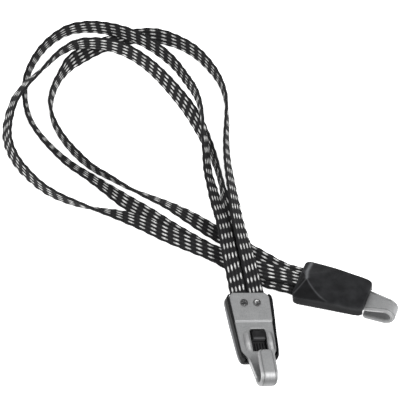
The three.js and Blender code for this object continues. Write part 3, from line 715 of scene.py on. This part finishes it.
def hook_plate(letter, matrix):
    """The bent steel sheet with its window, rails, step, and rolled edges along the hook."""
    rings = plate_rings()
    out_u, out_n, way_u, way_n, thick, half, u, end_fall = (rings[:, k, None] for k in range(8))
    on_plate = u < BEND_TAG
    edge = np.array(EDGE_STATIONS)
    frame_v = np.array(FRAME_STATIONS) + WINDOW_HALF
    opening = np.linspace(-WINDOW_HALF, WINDOW_HALF, OPENING_STATIONS)[1:-1]
    inner = np.concatenate([SIDE_STATIONS, WINDOW_V - frame_v[::-1], WINDOW_V + opening, WINDOW_V + frame_v])
    left = len(edge) + len(SIDE_STATIONS) + len(frame_v) - 1
    right = left + OPENING_STATIONS - 1
    scale = np.minimum(1, (half - EDGE_BAND) / INNER_REACH)
    v = np.concatenate([-half + edge, inner * scale, half - edge[::-1]], axis=1)
    d = half - np.abs(v)
    aside = np.abs(v - WINDOW_V)

    # Thickness at each point: top is the side towards the throat, low the outer side
    hook = ramp(u, *HOOK_EDGE_U)
    rounded = EDGE_ROUND + HOOK_EDGE_ROUND * hook
    off = np.hypot(np.maximum(aside - WINDOW_HALF, 0),
                   np.maximum(np.abs(u - WINDOW_MIDDLE_U) - WINDOW_LONG / 2, 0))
    lip = np.where(on_plate, LIP_RISE * bell(off - LIP_OFF, LIP_WIDE) - fillet(off, LIP_ROUND), 0)
    arch = np.clip(1 - ((u - sum(RAIL_U) / 2) / (RAIL_U[1] - RAIL_U[0]) * 2) ** 2, 0, 1)
    off_rails = [(v - WINDOW_V - s * sum(RAIL_V) / 2) / RAIL_HALF for s in (-1, 1)]
    rails = sum(np.clip(1 - k ** 2, 0, 1) ** RAIL_POWER for k in off_rails)
    flute = bell(aside - RAIL_V[1] - FLUTE_OFF, FLUTE_WIDE) * ramp(arch, 0.0, FLUTE_ARCH)
    groove = hook * bell(d - GROOVE_D, GROOVE_WIDE)
    dish = hook * HOOK_DISH * ramp(d, *HOOK_DISH_D)
    top = thick - fillet(d, rounded) - end_fall + lip + RAIL_RISE * arch * rails - FLUTE_DEEP * flute - dish
    low = fillet(d, rounded - BEND_EDGE_ROUND * np.minimum(way_u, 0)) + end_fall + GROOVE_DEEP * groove
    top = np.maximum(top, low + LEAST_THICK)

    # The window's rounded corners at the strap end draw in the points beside them
    corner = fillet(np.maximum(u - WINDOW_U[0], 0), WINDOW_CORNER)
    corner = corner * ramp(u, WINDOW_U[0] - CORNER_LEAD, WINDOW_U[0])
    fade = 1 - ramp(aside, WINDOW_HALF, WINDOW_HALF + CORNER_REACH)
    drawn = aside - corner * np.minimum(aside / WINDOW_HALF, fade)
    placed = WINDOW_V + np.sign(v - WINDOW_V) * drawn
    co = np.concatenate([np.stack([out_u + way_u * w, placed, out_n + way_n * w], axis=-1)
                         for w in (top, low)])

    # Marks, as shares of full painted highlight or painted shade
    bend = way_u < -0.1
    riser = bell(u - sum(STEP_OVER) / 2, RISER_WIDE) * on_plate
    ridge = np.clip(arch * rails, 0, 1) * (0.3 + 0.7 * bell(u - RIDGE_U, RIDGE_WIDE))
    rolled = hook * bell(d - ROLL_D, ROLL_WIDE)
    gleam = bell(out_n - GLEAM_N, GLEAM_WIDE) * bend
    rim = 0.7 * hook * bell(d, ROLL_WIDE)
    jamb = bell(aside - WINDOW_HALF - JAMB_OFF, JAMB_OFF)
    jamb = jamb * ramp(u, *JAMB_FROM_U) * ramp(JAMB_TO_U - u, 0, JAMB_FADE)
    dusk = sum(k["weight"] * bell(out_n - k["n"], k["wide"]) for k in DUSK) * bend
    # Painted highlight on the riser, rails, rolled rims and the bend's gleam; painted shade in the throat,
    # flutes, jambs, groove, hook rims and the bend below its gleam
    painted_highlight = np.concatenate([0.12 * riser + 0.9 * ridge + 0.36 * rolled * on_plate,
                           0.26 * rolled + 0.3 * gleam])
    throat = 0.45 * hook * ramp(d, *THROAT_D) + 0.4 * flute + 0.35 * jamb + rim * ~on_plate
    shaded = np.clip(np.concatenate([throat, 0.6 * groove + dusk + rim]), 0, 1)
    marks = (("painted_highlight", painted_highlight), ("shaded", shaded), ("across", np.concatenate([v, v])))

    # Faces: both sides without the window, then the walls around the sheet and around the window
    count, across = v.shape
    upper = np.arange(count * across).reshape(count, across)
    lower = upper + count * across
    first = int(np.argmin(np.abs(rings[:, 6] - WINDOW_U[0])))
    last = int(np.argmin(np.abs(rings[:, 6] - WINDOW_U[1])))
    keep = np.ones((count - 1, across - 1), bool)
    keep[first:last, left:right] = False
    faces = []
    for grid in (upper, lower):
        quads = np.stack([grid[:-1, :-1], grid[1:, :-1], grid[1:, 1:], grid[:-1, 1:]], axis=-1)
        faces += quads[keep].tolist()

    def wall(a, b):
        return np.stack([a[:-1], a[1:], b[1:], b[:-1]], axis=-1).tolist()

    for j in (0, -1):
        faces += wall(upper[:, j], lower[:, j]) + wall(upper[j], lower[j])
    for j in (left, right):
        faces += wall(upper[first:last + 1, j], lower[first:last + 1, j])
    for i in (first, last):
        faces += wall(upper[i, left:right + 1], lower[i, left:right + 1])
    finished(f"plate_{letter}", co.reshape(-1, 3), faces, matrix, STEEL, f"end_{letter}",
             f"hook_plate_{letter}", 60, marks)


def moulded(node, name, body, matrix, material, grid, shape):
    """A finely remeshed, softened copy of a CAD node, with the forms and marks that shape() adds."""
    voxel, passes = grid
    blank = link(name + "_blank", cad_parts[node].data.copy())
    remesh = blank.modifiers.new("grid", "REMESH")
    remesh.mode = "VOXEL"
    remesh.voxel_size = voxel * MM
    soft = blank.modifiers.new("soft", "SMOOTH")
    soft.iterations = passes
    bpy.context.view_layer.update()
    source = blank.evaluated_get(bpy.context.evaluated_depsgraph_get())
    mesh = source.to_mesh()
    co = np.empty(len(mesh.vertices) * 3, np.float32)
    mesh.vertices.foreach_get("co", co)
    edges = np.empty(len(mesh.edges) * 2, np.int32)
    mesh.edges.foreach_get("vertices", edges)
    normals = np.empty(len(mesh.vertices) * 3, np.float32)
    mesh.vertices.foreach_get("normal", normals)
    faces = [list(f.vertices) for f in mesh.polygons]
    source.to_mesh_clear()
    bpy.data.objects.remove(blank)
    turn = np.array(matrix.to_3x3())
    local = (co.reshape(-1, 3) - np.array(matrix.translation)) @ turn / MM
    out = normals.reshape(-1, 3) @ turn
    edges = edges.reshape(-1, 2)
    links = np.bincount(edges.ravel(), minlength=len(local))[:, None]

    def around(values):
        total = np.zeros_like(values)
        np.add.at(total, edges[:, 0], values[edges[:, 1]])
        np.add.at(total, edges[:, 1], values[edges[:, 0]])
        return total / links

    convex = ((local - around(local)) * out).sum(axis=1, keepdims=True) / voxel
    for _ in range(2):
        convex = around(convex)
    local, painted_highlight, shaded = shape(local, out, convex[:, 0])
    finished(name, local, faces, matrix, material, body, node, 180,
             (("painted_highlight", np.clip(painted_highlight, 0, 1)), ("shaded", np.clip(shaded, 0, 1))))


def off_line(u, v, line):
    """Distance of each point from a bent line, and which side of it the point is on."""
    best = np.full(len(u), np.inf)
    side = np.zeros(len(u))
    for (u0, v0), (u1, v1) in zip(line, line[1:]):
        du, dv = u1 - u0, v1 - v0
        k = np.clip(((u - u0) * du + (v - v0) * dv) / (du * du + dv * dv), 0, 1)
        d = np.hypot(u - u0 - k * du, v - v0 - k * dv)
        closer = d < best
        side = np.where(closer, np.sign((u - u0) * dv - (v - v0) * du), side)
        best = np.minimum(best, d)
    return best, side


def cover_shape(local, out, convex):
    """Creases of the cover's outer side, one along its front and an arc that runs out to one side, and the
    painted highlights and painted shade of its creases, its cheek, its near wall and its rim."""
    u, v, n = local.T
    outer = ramp(-n, *OUTER_DEPTH) * ramp(-out[:, 2], *OUTER_SLOPE)
    front, _ = off_line(u, v, COVER_FRONT)
    arc, side = off_line(u, v, COVER_ARC)
    ear, _ = off_line(u, v, COVER_EAR_LINE)
    cheek = outer * ramp(-side * arc, 0.0, CHEEK_STEP) * ramp(u, *CHEEK_FROM_U)
    cheek = cheek * ramp(CHEEK_TO_U - u, 0, CHEEK_FADE)
    local = local - out * (CHEEK_DEEP * cheek + ARC_CUT_DEEP * outer * bell(arc, ARC_CUT_WIDE))[:, None]
    # Painted highlight: lighter along the front crease, the arc, the ear line and convex edges, and on the
    # lower part of the near wall
    painted_highlight = 0.6 * outer * bell(front, FRONT_WIDE)
    painted_highlight += 0.24 * outer * bell(arc, ARC_WIDE) * ramp(ARC_TO_U - u, 0, ARC_FADE)
    painted_highlight += 0.18 * outer * bell(ear, EAR_WIDE) + 0.28 * ramp(convex, *CONVEX_EDGE) * ramp(np.abs(v), *EAR_V)
    wall = ramp(-out[:, 1], *WALL_SLOPE) * ramp(-v, *WALL_V)
    rim = ramp(n, *RIM_N)
    painted_highlight = np.maximum(painted_highlight * (1 - rim), 0.72 * wall * ramp(-n, *WALL_LIGHT_DEPTH))
    # Painted shade: darker on the rim, the upper part of the near wall and the cheek
    shaded = np.maximum(0.45 * rim + 0.45 * wall * ramp(n, *WALL_SHADE_N), 0.6 * cheek)
    return local, painted_highlight, shaded


def catch_shape(local, out, convex):
    """A dished top with rounded corners and shoulders, ribs along the arm, and a chamfer under its front,
    with painted highlights on its edges and lip and painted shade between its ribs.
    """
    u, v, n = local.T
    chamfer = ramp(CATCH_CHAMFER_U - u, 0, CATCH_CHAMFER_LONG) * ramp(-n, *CATCH_CHAMFER_DEPTH)
    n = n + CATCH_CHAMFER * chamfer
    v = v - WINDOW_V
    top = ramp(n, *CATCH_TOP_N)
    v = v * (1 - CATCH_TAPER * top)
    v = v * (1 - top * fillet(np.clip(u - CATCH_FRONT_U, 0, None), CATCH_FRONT_CORNER) / CATCH_HALF)
    v = v * (1 - top * fillet(np.clip(CATCH_BACK_U - u, 0, None), CATCH_BACK_CORNER) / CATCH_HALF)
    u = u + CATCH_SLOPE * top * ramp(CATCH_SLOPE_U - u, 0, CATCH_SLOPE_LONG)
    dish_u, dish_v = CATCH_DISH_HALF
    dish = top * np.clip(1 - (v / dish_v) ** 2, 0, 1)
    dish = dish * np.clip(1 - ((u - CATCH_MIDDLE_U) / dish_u) ** 2, 0, 1)
    shoulder = top * ramp(np.abs(v), CATCH_SHOULDER_V, CATCH_HALF) ** 2
    arm = ramp(u, *CATCH_ARM_U) * ramp(out[:, 2], *CATCH_ARM_SLOPE)
    ribs = 0.5 - 0.5 * np.cos(v * 2 * math.pi / RIB_PITCH)
    high = n - CATCH_DISH * dish - CATCH_SHOULDER * shoulder - RIB_DEEP * arm * ribs
    lip = bell(u - CATCH_LIP_U, 0.6) * ramp(n, -0.6, 0.4) * ramp(CATCH_HALF - np.abs(v), 0.2, 1.2)
    # Painted highlight on convex edges, the lip and the crests of the ribs; painted shade between the ribs
    painted_highlight = 0.55 * ramp(convex, *CONVEX_EDGE) * ramp(n, -0.9, 0.2) + 0.7 * lip + 0.16 * arm * (1 - ribs)
    return np.stack([u, v + WINDOW_V, high], axis=1), painted_highlight, arm * ribs


def rivet(letter, side, matrix, v):
    """A tubular rivet: a flat head, a rolled rim split by the crimp, a sunk middle, its shank and foot."""
    folds, deep = RIVET_FOLDS[side]
    head, under = PLATE_THICK + RIVET_HEAD, PLATE_THICK + RIVET_UNDER
    foot_top = RIVET_FOOT_N + RIVET_FOOT_THICK
    profile = [(r, head - depth) for r, depth in RIVET_FACE]
    profile += [(RIVET_SIDE, under + 0.05), (RIVET_SIDE - 0.1, under), (RIVET_SHANK + 0.05, under),
                (RIVET_SHANK, under - 0.2), (RIVET_SHANK, foot_top), (RIVET_FOOT, foot_top),
                (RIVET_FOOT, RIVET_FOOT_N), (0.0, RIVET_FOOT_N)]
    r, n = np.array(profile).T
    angle = np.arange(RIVET_SEGMENTS) * 2 * math.pi / RIVET_SEGMENTS
    crimped = np.maximum(np.cos(angle * folds + RIVET_FOLD_TURN), 0)[:, None] ** RIVET_FOLD_SHARP
    high = n - deep * crimped * bell(r - RIVET_ROLL, RIVET_ROLL_WIDE) * (n > under + 0.1)
    co = np.stack([RIVET_U + r * np.cos(angle)[:, None], v + r * np.sin(angle)[:, None], high], axis=-1)
    # Painted highlight and painted shade on the face: on the right rivet a bright crescent on the side
    # towards the light with a dark ring and far side, on the left a dark face with lighter folds and middle
    bright = ramp(np.cos(angle - math.radians(RIVET_LIGHT_FROM)), -0.3, 0.5)[:, None]
    face = (n > under) * ramp(RIVET_FACE_RADIUS - r, 0, 0.15)
    if side == "right":
        painted_highlight = face * bright * bell(r - 0.85, 0.5)
        shaded = face * np.maximum(bell(r - 1.65, 0.3), 0.8 * (1 - bright) * bell(r - 1.0, 0.4))
    else:
        painted_highlight = 0.25 * face * (crimped * bell(r - 0.95, 0.55) + bell(r, 0.4))
        shaded = np.broadcast_to(0.8 * face * ramp(r, 0.3, 0.6), painted_highlight.shape)
    index = np.arange(co.shape[0] * co.shape[1]).reshape(co.shape[:2])
    nxt = np.roll(index, -1, axis=0)
    faces = np.stack([index[:, :-1], nxt[:, :-1], nxt[:, 1:], index[:, 1:]], axis=-1).reshape(-1, 4).tolist()
    finished(f"crimp_{side}_{letter}", co.reshape(-1, 3), faces, matrix, CRIMP, f"end_{letter}",
             f"rivet_{side}_{letter}", 45, (("painted_highlight", painted_highlight), ("shaded", shaded)))


# Fittings: flip says on which side of the fitting's middle its right rivet is
for letter, matrix, flip in (("a", SEAT_A, 1), ("b", SEAT_B, -1)):
    hook_plate(letter, matrix)
    moulded(f"cover_{letter}", f"shell_{letter}", f"end_{letter}", matrix, COVER, COVER_GRID, cover_shape)
    moulded(f"latch_{letter}", f"snap_catch_{letter}", f"catch_{letter}", matrix, CATCH, CATCH_GRID,
            catch_shape)
    rivet(letter, "left", matrix, -flip * RIVET_V)
    rivet(letter, "right", matrix, flip * RIVET_V)
    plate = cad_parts[f"backing_plate_{letter}"]
    plate.data.materials.clear()
    plate.data.materials.append(STEEL)

# Floor
bpy.ops.mesh.primitive_plane_add(size=FLOOR_SIZE, location=(0, 0, 0))
floor = bpy.context.object
floor.name = "floor"
ground = Nodes("pale_floor")
ground.finish(Base_Color=ground.mix(ground.noise(FLOOR_SCALE), *FLOOR_TONES), Roughness=0.9,
              Specular_IOR_Level=0.0, Emission_Color=WHITE, Emission_Strength=FLOOR_GLOW)
floor.data.materials.append(ground.material)

# Light: an even white sky and two soft boxes
world = bpy.data.worlds.new("studio")
bpy.context.scene.world = world
world.use_nodes = True
sky = world.node_tree.nodes["Background"]
sky.inputs["Color"].default_value = WHITE
sky.inputs["Strength"].default_value = SKY_STRENGTH
for box in LIGHTS:
    light = bpy.data.lights.new(box["name"], "AREA")
    light.shape = "RECTANGLE"
    light.size, light.size_y = box["size"]
    light.energy = box["power"]
    lamp = link(box["name"], light)
    lamp.location = LOOK + Vector(box["place"])
    lamp.rotation_euler = (-Vector(box["place"])).to_track_quat("-Z", "Y").to_euler()

# Camera
camera = bpy.data.cameras.new("camera")
camera.sensor_width = CAMERA_SENSOR
camera.sensor_fit = "HORIZONTAL"
camera.lens = CAMERA_LENS
camera.clip_start = CAMERA_NEAR
eye = link("camera", camera)
tilt = math.radians(CAMERA_ELEVATION)
eye.location = LOOK + Vector((0, -math.cos(tilt), math.sin(tilt))) * CAMERA_DISTANCE
eye.rotation_euler = (math.pi / 2 - tilt, 0, 0)
bpy.context.scene.camera = eye
bpy.context.scene.view_settings.view_transform = "Standard"
